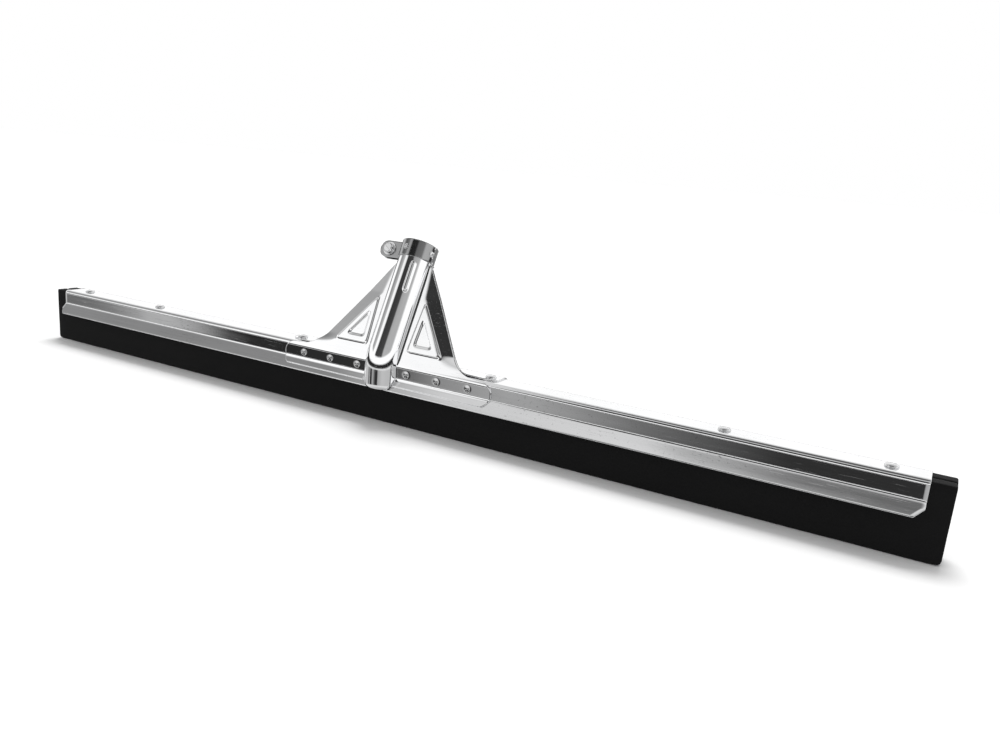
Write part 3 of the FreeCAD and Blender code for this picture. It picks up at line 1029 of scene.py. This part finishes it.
    def pressing(self, side: Side) -> bmesh.types.BMesh:
        """Makes a pressing's outer surface, column by column, with its relief.

        Args:
            side: The front or the rear pressing.

        Returns:
            The surface as an open sheet.
        """
        kinds = [self.column(index) for index in range(self.columns())]
        if side is Side.FRONT:
            paths = [self.front_path(kind, value) for kind, value in kinds]
        else:
            paths = [self.rear_path(self.depth(kind, value)) for kind, value in kinds]

        def place(column: int, row: int) -> Vector:
            kind, value = kinds[column]
            y, z = paths[column][row]
            half = self.half_width(z) if side is Side.FRONT else self.rear_half(y, z)
            x = self.across(kind, value, self.tube, half)
            return self.pressed(side, kind, value, Vector((x, y, z)))

        return sheet_grid(len(kinds), len(paths[0]), place)

    def pressed(self, side: Side, kind: str, value: float, here: Vector) -> Vector:
        """Moves a place of a plain pressing by the relief at that place.

        Args:
            side: The front or the rear pressing.
            kind: What the column belongs to.
            value: Its angle or share.
            here: The place on the plain pressing.

        Returns:
            The place on the pressing with its relief.
        """
        along = (here - self.datum).dot(self.axis)
        outwards = self.front * side.value
        if kind == "ridge":
            if side is Side.FRONT:
                radial = self.front * math.cos(value) + Vector((math.sin(value), 0.0, 0.0))
                here += radial * self.bead(value, along)
            return here
        top = self.channel.top
        if here.z > top + (self.rear_relief_start if side is Side.REAR else 0.0):
            here += outwards * (self.emboss(here.x, along) + self.waviness(here.x, along) * side.value)
            here -= self.front * self.curl_back(here.x, along)
        elif here.z > self.rear_low and (side is Side.FRONT or here.z < top - self.rear_weld_end):
            here.y += self.welds(here.x, here.z) * side.value
        return here

    def finish(self, bm: bmesh.types.BMesh, name: str, node: str, finishes: Finishes) -> None:
        """Dresses a pressing and gives it its thickness.

        Args:
            bm: The pressing's outer surface.
            name: The piece's name.
            node: The CAD node that it stands for.
            finishes: The object's materials.
        """
        mesh = mesh_from(name, bm, 60.0)
        obj = finish_piece(name, mesh, finishes.bracket, Slot.SHEET, Body.HEAD, [node])
        thicken(obj, SHEET)
        soften_edges(obj, self.edge_rounding, 1, 65.0)


@dataclass
class Collar:
    """The clamp band with its two ears, and the small hardware on it."""

    bracket: Bracket
    sheet: float = 0.8 * MM
    gap: float = 1.75 * MM
    ear_end: float = 33.0 * MM
    ear_radius: float = 6.0 * MM
    ear_fillet: float = 2.0 * MM
    edge_rounding: float = 0.2 * MM
    small_rounding: float = 0.12 * MM
    turns: int = 96
    rows: int = 14
    ear_steps: int = 22
    fillet_steps: int = 6

    def section(self) -> list[Point]:
        """Draws the band's outer surface, from one ear's end round the socket to the other's.

        Returns:
            The section's points, as (x, out).
        """
        radius = self.bracket.tube + self.sheet
        face = self.gap + self.sheet
        fillet = self.ear_fillet
        centre = (-math.sqrt((radius + fillet) ** 2 - (face + fillet) ** 2), face + fillet)
        touch = math.atan2(centre[1], centre[0])
        points = [(x, face) for x in spread(-self.ear_end, centre[0], self.ear_steps)[:-1]]
        for step in spread(-math.pi / 2.0, touch - math.pi, self.fillet_steps)[:-1]:
            points.append((centre[0] + fillet * math.cos(step), centre[1] + fillet * math.sin(step)))
        around = [radius * Vector((math.cos(a), math.sin(a))) for a in spread(touch, 0.0, self.turns // 2)]
        points += [(v.x, v.y) for v in around]
        return points + [(x, -out) for x, out in points[-2::-1]]

    def build(self, finishes: Finishes) -> None:
        """Makes the band.

        Args:
            finishes: The object's materials.
        """
        b = self.bracket
        section = self.section()
        middle, half = b.top - b.collar_height / 2.0, b.collar_height / 2.0
        steps = spread(-1.0, 1.0, self.rows)

        def place(column: int, row: int) -> Vector:
            x, out = section[row]
            inset = max(self.ear_radius - (x + self.ear_end), 0.0)
            drop = self.ear_radius - math.sqrt(max(self.ear_radius**2 - inset**2, 0.0))
            return b.place(x, middle + steps[column] * (half - drop), out)

        bm = sheet_grid(len(steps), len(section), place)
        right = [f for f in bm.faces if f.calc_center_median().x > b.tube * 0.8]
        if sum(f.normal.x for f in right) < 0:
            bmesh.ops.reverse_faces(bm, faces=bm.faces[:])
        mesh = mesh_from("clamp_collar", bm)
        obj = finish_piece("clamp_collar", mesh, finishes.collar, Slot.SHEET, Body.HEAD, ["collar_band"])
        thicken(obj, self.sheet)
        soften_edges(obj, self.edge_rounding, 2, 60.0)

    def build_hardware(self, finishes: Finishes) -> None:
        """Makes the screw, washer, nut and stakes.

        Args:
            finishes: The object's materials.
        """
        for node, name, body in (
            ("clamp_screw", "slotted_screw", Body.SCREW),
            ("screw_washer", "flat_washer", Body.WASHER),
            ("clamp_nut", "hexagon_nut", Body.HEAD),
            ("collar_stake_1", "left_stake", Body.HEAD),
            ("collar_stake_2", "right_stake", Body.HEAD),
        ):
            refined_copy(node, name, finishes.fastener, Slot.FASTENERS, body, self.small_rounding)


@dataclass
class Rivets:
    """The dome-headed rivets along the channel's top."""

    count: int = 6
    shank: float = 2.0 * MM
    rim: float = 0.35 * MM
    head: float = 1.9 * MM
    edge_rounding: float = 0.1 * MM
    facets: int = 40

    def build(self, finishes: Finishes) -> None:
        """Makes each rivet.

        Args:
            finishes: The object's materials.
        """
        for number in range(1, self.count + 1):
            node = f"channel_rivet_{number}"
            low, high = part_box(node)
            self.rivet(node, low, high, finishes)

    def rivet(self, node: str, low: Vector, high: Vector, finishes: Finishes) -> None:
        """Makes one rivet inside its node's box, by turning its outline about its axis.

        Args:
            node: The rivet's CAD node.
            low: The box's low corner.
            high: The box's high corner.
            finishes: The object's materials.
        """
        centre = Vector(((low.x + high.x) / 2.0, (low.y + high.y) / 2.0, 0.0))
        radius = (high.x - low.x) / 2.0
        seat = high.z - self.head
        under = radius - self.edge_rounding
        outline = [(0.0, low.z), (self.shank, low.z), (self.shank, seat), (under, seat)]
        outline.append((radius, seat + self.rim))
        rise = high.z - seat - self.rim
        for angle in spread(0.0, math.pi / 2.0, 8)[1:]:
            outline.append((radius * math.cos(angle), seat + self.rim + rise * math.sin(angle) ** 0.9))
        bm = bmesh.new()
        verts = [bm.verts.new(centre + Vector((x, 0.0, z))) for x, z in outline]
        edges = [bm.edges.new(pair) for pair in zip(verts, verts[1:])]
        bmesh.ops.spin(
            bm,
            geom=verts + edges,
            cent=centre,
            axis=(0.0, 0.0, 1.0),
            angle=2.0 * math.pi,
            steps=self.facets,
            use_merge=True,
        )
        bmesh.ops.remove_doubles(bm, verts=bm.verts[:], dist=MERGE)
        bmesh.ops.recalc_face_normals(bm, faces=bm.faces[:])
        name = node.replace("channel", "domed")
        mesh = mesh_from(name, bm, 50.0)
        obj = finish_piece(name, mesh, finishes.fastener, Slot.FASTENERS, Body.HEAD, [node])
        soften_edges(obj, self.edge_rounding, 2, 50.0)


@dataclass
class FoamStrip:
    """One foam rubber strip, with soft edges, slightly uneven faces and rounded lower corners."""

    node: str
    name: str
    edge: float = 1.1 * MM
    corner: float = 3.0 * MM
    station: float = 7.5 * MM
    layer: float = 3.0 * MM
    unevenness: float = 0.22 * MM
    ripple_share: float = 0.35
    free_below: float = 10.0 * MM
    held_above: float = 14.0 * MM
    face_share: float = 0.9

    def build(self, material: bpy.types.Material) -> None:
        """Makes the strip inside its node's box.

        Args:
            material: The strip's finish.
        """
        low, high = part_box(self.node)
        bm = bmesh.new()
        bmesh.ops.create_cube(bm, size=1.0)
        size, centre = high - low, (high + low) / 2.0
        bmesh.ops.scale(bm, vec=size, verts=bm.verts[:])
        bmesh.ops.translate(bm, vec=centre, verts=bm.verts[:])
        bmesh.ops.bevel(
            bm,
            geom=bm.edges[:],
            offset=self.edge,
            offset_type="OFFSET",
            affect="EDGES",
            segments=3,
            profile=0.5,
            material=-1,
        )
        self.slice(bm, Vector((1.0, 0.0, 0.0)), low.x, high.x, self.station)
        self.slice(bm, Vector((0.0, 0.0, 1.0)), low.z, high.z, self.layer)
        self.slice(bm, Vector((0.0, 1.0, 0.0)), low.y, high.y, self.layer)
        for vertex in bm.verts:
            vertex.co = self.settle(vertex.co, low, high)
        bmesh.ops.recalc_face_normals(bm, faces=bm.faces[:])
        mesh = mesh_from(self.name, bm, 60.0)
        obj = finish_piece(self.name, mesh, material, Slot.RUBBER, Body.HEAD, [self.node])

    def slice(self, bm: bmesh.types.BMesh, way: Vector, low: float, high: float, gap: float) -> None:
        """Cuts the strip across at even stations, so that it can be uneven between them.

        Args:
            bm: The strip.
            way: The direction that the stations follow.
            low: Where the strip starts.
            high: Where it ends.
            gap: The wanted distance between stations.
        """
        count = max(round((high - low) / gap), 2)
        for value in spread(low, high, count)[1:-1]:
            geom = bm.verts[:] + bm.edges[:] + bm.faces[:]
            bmesh.ops.bisect_plane(bm, geom=geom, dist=0.0, plane_co=way * value, plane_no=way)

    def settle(self, place: Vector, low: Vector, high: Vector) -> Vector:
        """Moves a place a little inwards, more where the foam is free.

        Args:
            place: A place on the plain strip.
            low: The box's low corner.
            high: The box's high corner.

        Returns:
            The moved place.
        """
        free = 1.0 - smooth_step(low.z + self.free_below, high.z - self.held_above, place.z)
        dents = Vector((place.x * 14.0, place.y * 60.0, place.z * 30.0))
        ripples = Vector((place.x * 60.0, 5.0, place.z * 90.0))
        uneven = abs(noise.noise(dents, noise_basis="PERLIN_NEW"))
        ripple = abs(noise.noise(ripples, noise_basis="PERLIN_NEW"))
        inwards = (uneven + self.ripple_share * ripple) * self.unevenness * free
        middle = (low + high) / 2.0
        reach = (high - low) / 2.0
        moved = place.copy()
        for k in range(3):
            share = (place[k] - middle[k]) / reach[k]
            if abs(share) > self.face_share or k == 1:
                moved[k] -= math.copysign(inwards * abs(share), share)
        return self.round_corner(moved, high.x, low.z)

    def round_corner(self, place: Vector, end: float, floor: float) -> Vector:
        """Rounds the strip's lower corners, seen from the front, as wear leaves them.

        Args:
            place: A place on the strip.
            end: Where the strip ends along X.
            floor: The height of its lower edge.

        Returns:
            The place, moved if it is in a corner.
        """
        past = max(abs(place.x) - (end - self.corner), 0.0)
        drop = max(floor + self.corner - place.z, 0.0)
        if past > 0.0 and drop > 0.0:
            keep = max(past, drop) / math.hypot(past, drop)
            place.x = math.copysign(end - self.corner + past * keep, place.x)
            place.z = floor + self.corner - drop * keep
        return place


# ---------------------------------------------------------------------------------------------------------
# Studio
# ---------------------------------------------------------------------------------------------------------


@dataclass
class Studio:
    """Pale floor, one soft light, a bright room with darker bands for the metal to reflect, and the camera.

    The room's bands are (position, brightness). Heights run from straight down at 0 to straight up at 1, and
    turns run from behind at 0, by the right, the front at 0.5 and the left, to behind again at 1.
    """

    target: tuple[float, float, float] = (0.0918, 0.0052, 0.0513)
    azimuth: float = 27.76
    elevation: float = 13.72
    roll: float = 4.95
    distance: float = 0.5776
    lens: float = 30.2
    sensor: float = 36.0
    near: float = 0.01
    floor_half: float = 60.0
    floor_drop: float = 0.1 * MM
    floor_tone: float = 0.97
    mirror_strength: float = 1.0
    soft_strength: float = 0.66
    key_strength: float = 1.75
    key_angle: float = 26.0
    key_way: tuple[float, float, float] = (0.14, -0.40, -1.0)
    heights: tuple[Point, ...] = (
        (0.00, 0.45),
        (0.20, 0.80),
        (0.33, 0.60),
        (0.455, 0.90),
        (0.475, 0.03),
        (0.520, 0.01),
        (0.545, 1.10),
        (0.66, 1.15),
        (0.76, 1.10),
        (0.88, 0.62),
        (0.945, 0.75),
        (0.965, 0.14),
        (1.00, 0.10),
    )
    low_band: tuple[Point, ...] = ((0.28, 0.0), (0.32, 1.0), (0.435, 1.0), (0.455, 0.0))
    low_panels: tuple[Point, ...] = (
        (0.00, 0.45),
        (0.40, 0.55),
        (0.475, 0.40),
        (0.488, 0.03),
        (0.522, 0.03),
        (0.548, 0.16),
        (0.572, 0.42),
        (0.590, 0.26),
        (0.600, 0.03),
        (0.628, 0.02),
        (0.638, 0.60),
        (0.650, 0.16),
        (0.665, 0.16),
        (0.685, 0.55),
    )
    high_band: tuple[Point, ...] = ((0.63, 0.0), (0.66, 1.0), (0.865, 1.0), (0.90, 0.0))
    high_panels: tuple[Point, ...] = (
        (0.00, 0.90),
        (0.24, 1.00),
        (0.285, 1.00),
        (0.315, 0.40),
        (0.43, 0.42),
        (0.455, 0.06),
        (0.578, 0.04),
        (0.597, 0.95),
        (0.635, 1.00),
        (0.655, 0.45),
        (0.72, 0.22),
        (0.78, 0.80),
        (1.00, 1.00),
    )

    def build(self) -> None:
        """Makes the whole studio."""
        self.camera()
        self.floor()
        self.room()
        self.lights()
        view = bpy.context.scene.view_settings
        view.view_transform = "Standard"
        view.look = "None"

    def camera(self) -> None:
        """Puts the camera on its line of sight, tilted by its roll."""
        a, e, r = (math.radians(v) for v in (self.azimuth, self.elevation, self.roll))
        back = Vector((math.sin(a) * math.cos(e), -math.cos(a) * math.cos(e), math.sin(e)))
        right = (-back).cross(Vector((0.0, 0.0, 1.0))).normalized()
        up = right.cross(-back)
        side = right * math.cos(r) + up * math.sin(r)
        over = up * math.cos(r) - right * math.sin(r)
        data = bpy.data.cameras.new("camera")
        data.lens = self.lens
        data.sensor_width = self.sensor
        data.clip_start = self.near
        obj = bpy.data.objects.new("camera", data)
        bpy.context.scene.collection.objects.link(obj)
        turn = Matrix((side, over, back)).transposed().to_4x4()
        obj.matrix_world = Matrix.Translation(Vector(self.target) + back * self.distance) @ turn
        bpy.context.scene.camera = obj

    def floor(self) -> None:
        """A wide plain floor that the metal doesn't mirror; the room gives those reflections."""
        bm = bmesh.new()
        bmesh.ops.create_grid(bm, x_segments=1, y_segments=1, size=self.floor_half)
        bmesh.ops.translate(bm, vec=(0.0, 0.0, -self.floor_drop), verts=bm.verts[:])
        obj = bpy.data.objects.new("floor", mesh_from("floor", bm))
        bpy.context.scene.collection.objects.link(obj)
        obj.visible_glossy = False
        made = bpy.data.materials.new("pale_floor")
        made.use_nodes = True
        n = Nodes(made.node_tree)
        shader = n.add("ShaderNodeBsdfPrincipled")
        tone = self.floor_tone
        shader.inputs["Base Color"].default_value = (tone, tone, tone, 1.0)
        shader.inputs["Roughness"].default_value = 0.9
        shader.inputs["Specular IOR Level"].default_value = 0.1
        out = n.add("ShaderNodeOutputMaterial")
        n.join(shader.outputs["BSDF"], out.inputs["Surface"])
        obj.data.materials.append(made)

    def room(self) -> None:
        """White to the eye and soft all round, with bands and panels of shade for the metal to reflect."""
        world = bpy.data.worlds.new("studio")
        bpy.context.scene.world = world
        world.use_nodes = True
        n = Nodes(world.node_tree)
        way = n.add("ShaderNodeTexCoord").outputs["Generated"]
        split = n.add("ShaderNodeSeparateXYZ")
        n.join(way, split.inputs["Vector"])
        rise = n.math("MULTIPLY_ADD", split.outputs["Z"], 0.5, 0.5)
        left = n.math("MULTIPLY", split.outputs["X"], -1.0)
        front = n.math("MULTIPLY", split.outputs["Y"], -1.0)
        turn = n.math("MULTIPLY_ADD", n.math("ARCTAN2", left, front), 0.5 / math.pi, 0.5)
        panels = n.ramp(turn, self.low_panels)
        cards = n.ramp(turn, self.high_panels)
        heights = n.ramp(rise, self.heights)
        is_low = n.ramp(rise, self.low_band)
        is_high = n.ramp(rise, self.high_band)
        shown = self.blend(n, heights, panels, is_low)
        shown = self.blend(n, shown, n.math("MULTIPLY", heights, cards), is_high)
        mirror = n.add("ShaderNodeBackground")
        n.join(shown, mirror.inputs["Color"])
        mirror.inputs["Strength"].default_value = self.mirror_strength
        soft = n.add("ShaderNodeBackground")
        soft.inputs["Strength"].default_value = self.soft_strength
        white = n.add("ShaderNodeBackground")
        white.inputs["Strength"].default_value = 1.0
        for plain in (soft, white):
            plain.inputs["Color"].default_value = (1.0, 1.0, 1.0, 1.0)
        path = n.add("ShaderNodeLightPath")
        seen = n.add("ShaderNodeMixShader")
        n.join(path.outputs["Is Camera Ray"], seen.inputs["Fac"])
        n.join(soft.outputs["Background"], seen.inputs[1])
        n.join(white.outputs["Background"], seen.inputs[2])
        mix = n.add("ShaderNodeMixShader")
        n.join(path.outputs["Is Glossy Ray"], mix.inputs["Fac"])
        n.join(seen.outputs["Shader"], mix.inputs[1])
        n.join(mirror.outputs["Background"], mix.inputs[2])
        out = n.add("ShaderNodeOutputWorld")
        n.join(mix.outputs["Shader"], out.inputs["Surface"])

    def blend(self, n: Nodes, base: Socket, over: Socket, share: Socket) -> Socket:
        """Lays one grey pattern over another by a share."""
        gap = n.math("SUBTRACT", over, base)
        return n.math("ADD", base, n.math("MULTIPLY", gap, share))

    def lights(self) -> None:
        """Adds one soft key, high behind and a little to the left, so that the shadow falls forward."""
        data = bpy.data.lights.new("key", "SUN")
        data.energy = self.key_strength
        data.angle = math.radians(self.key_angle)
        obj = bpy.data.objects.new("key", data)
        bpy.context.scene.collection.objects.link(obj)
        obj.visible_glossy = False
        way = Vector(self.key_way)
        obj.rotation_mode = "QUATERNION"
        obj.rotation_quaternion = way.to_track_quat("-Z", "Y")


def main() -> None:
    """Builds the studio and every sub-assembly in order."""
    Studio().build()
    finishes = Finishes()
    channel = Channel()
    channel.build(finishes)
    refined_copy("retaining_rail", "inner_rail", finishes.rail, Slot.SHEET, Body.HEAD, 0.15 * MM)
    Rivets().build(finishes)
    FoamStrip("front_strip", "front_foam_strip").build(finishes.front_foam)
    FoamStrip("rear_strip", "rear_foam_strip").build(finishes.rear_foam)
    bracket = Bracket(channel)
    bracket.build_front(finishes)
    bracket.build_rear(finishes)
    collar = Collar(bracket)
    collar.build(finishes)
    collar.build_hardware(finishes)


if __name__ == "__main__":
    main()
